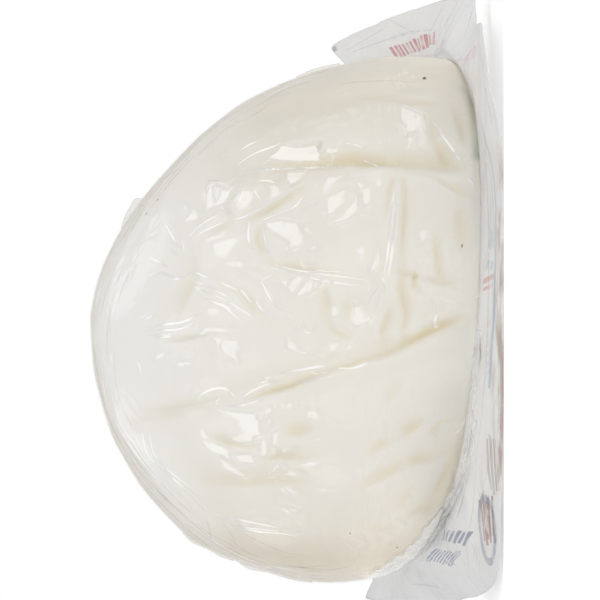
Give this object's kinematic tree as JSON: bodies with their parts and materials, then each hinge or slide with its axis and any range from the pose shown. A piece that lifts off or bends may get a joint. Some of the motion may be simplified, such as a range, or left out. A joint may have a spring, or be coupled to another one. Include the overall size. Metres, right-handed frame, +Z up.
{
  "type": "vacuum-packed fresh mozzarella ball",
  "caption": "Soft white cheese ball sealed under a tight creased clear film on a printed backing film with a curled flange.",
  "frame": {"origin": "where the ball's axis meets the table, at the middle of the flat patch under the pack", "axes": "+Z up through the dome of cheese, +X towards the upper edge of the label, +Y towards the side where the flange curls up highest"},
  "size_m": [0.097, 0.1002, 0.0612],
  "materials": {
    "cheese": "soft wet white cheese, milky and slightly translucent, creamier in its folds",
    "clear_film": "thin clear vacuum film, crisp bright reflections, sharp creases",
    "printed_film": "milky white satin film with pale fields of colour showing through from its outer side"
  },
  "bodies": {
    "root": {"sealed_ball": "cheese", "printed_film": "printed_film"}
  },
  "joints": []
}
